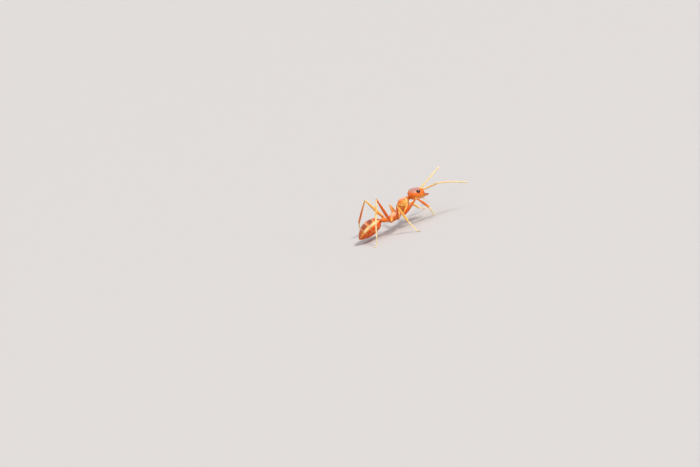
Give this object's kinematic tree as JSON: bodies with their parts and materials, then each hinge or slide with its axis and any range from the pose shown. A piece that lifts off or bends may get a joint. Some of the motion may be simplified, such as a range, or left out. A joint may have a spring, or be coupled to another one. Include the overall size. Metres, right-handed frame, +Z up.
{
  "type": "weaver ant",
  "caption": "Life-size weaver ant worker standing on its feet, hind knees raised, head forward and feelers held out ahead.",
  "frame": {"origin": "on the floor under the middle of the whole ant's bounding box", "axes": "+X the way the ant faces, +Y its left side, +Z up from the floor"},
  "size_m": [0.0126, 0.0096, 0.0046],
  "materials": {
    "amber_cuticle": "glossy translucent orange cuticle with fine pale hairs",
    "gaster_cuticle": "glossy red-amber plates with pale rear edges",
    "leg_cuticle": "satin amber cuticle, straw coloured in the light",
    "foot_cuticle": "pale straw cuticle with dense short hairs",
    "feeler_cuticle": "pale straw cuticle with dense short hairs",
    "jaw_cuticle": "hard red-brown cuticle, darker along the teeth",
    "eye": "glossy black, finely faceted"
  },
  "bodies": {
    "root": {"head": "amber_cuticle", "neck": "amber_cuticle", "pronotum": "amber_cuticle", "mesonotum": "amber_cuticle", "propodeum": "amber_cuticle", "petiole": "amber_cuticle", "gaster_segment_1": "gaster_cuticle", "gaster_segment_2": "gaster_cuticle", "gaster_segment_3": "gaster_cuticle", "gaster_segment_4": "gaster_cuticle", "eye_left": "eye", "mandible_left": "jaw_cuticle", "scape_left": "feeler_cuticle", "flagellum_left": "feeler_cuticle", "coxa_front_left": "amber_cuticle", "femur_front_left": "leg_cuticle", "tibia_front_left": "leg_cuticle", "tarsus_front_left": "foot_cuticle", "coxa_mid_left": "amber_cuticle", "femur_mid_left": "leg_cuticle", "tibia_mid_left": "leg_cuticle", "tarsus_mid_left": "foot_cuticle", "coxa_hind_left": "amber_cuticle", "femur_hind_left": "leg_cuticle", "tibia_hind_left": "leg_cuticle", "tarsus_hind_left": "foot_cuticle", "eye_right": "eye", "mandible_right": "jaw_cuticle", "scape_right": "feeler_cuticle", "flagellum_right": "feeler_cuticle", "coxa_front_right": "amber_cuticle", "femur_front_right": "leg_cuticle", "tibia_front_right": "leg_cuticle", "tarsus_front_right": "foot_cuticle", "coxa_mid_right": "amber_cuticle", "femur_mid_right": "leg_cuticle", "tibia_mid_right": "leg_cuticle", "tarsus_mid_right": "foot_cuticle", "coxa_hind_right": "amber_cuticle", "femur_hind_right": "leg_cuticle", "tibia_hind_right": "leg_cuticle", "tarsus_hind_right": "foot_cuticle"}
  },
  "joints": []
}
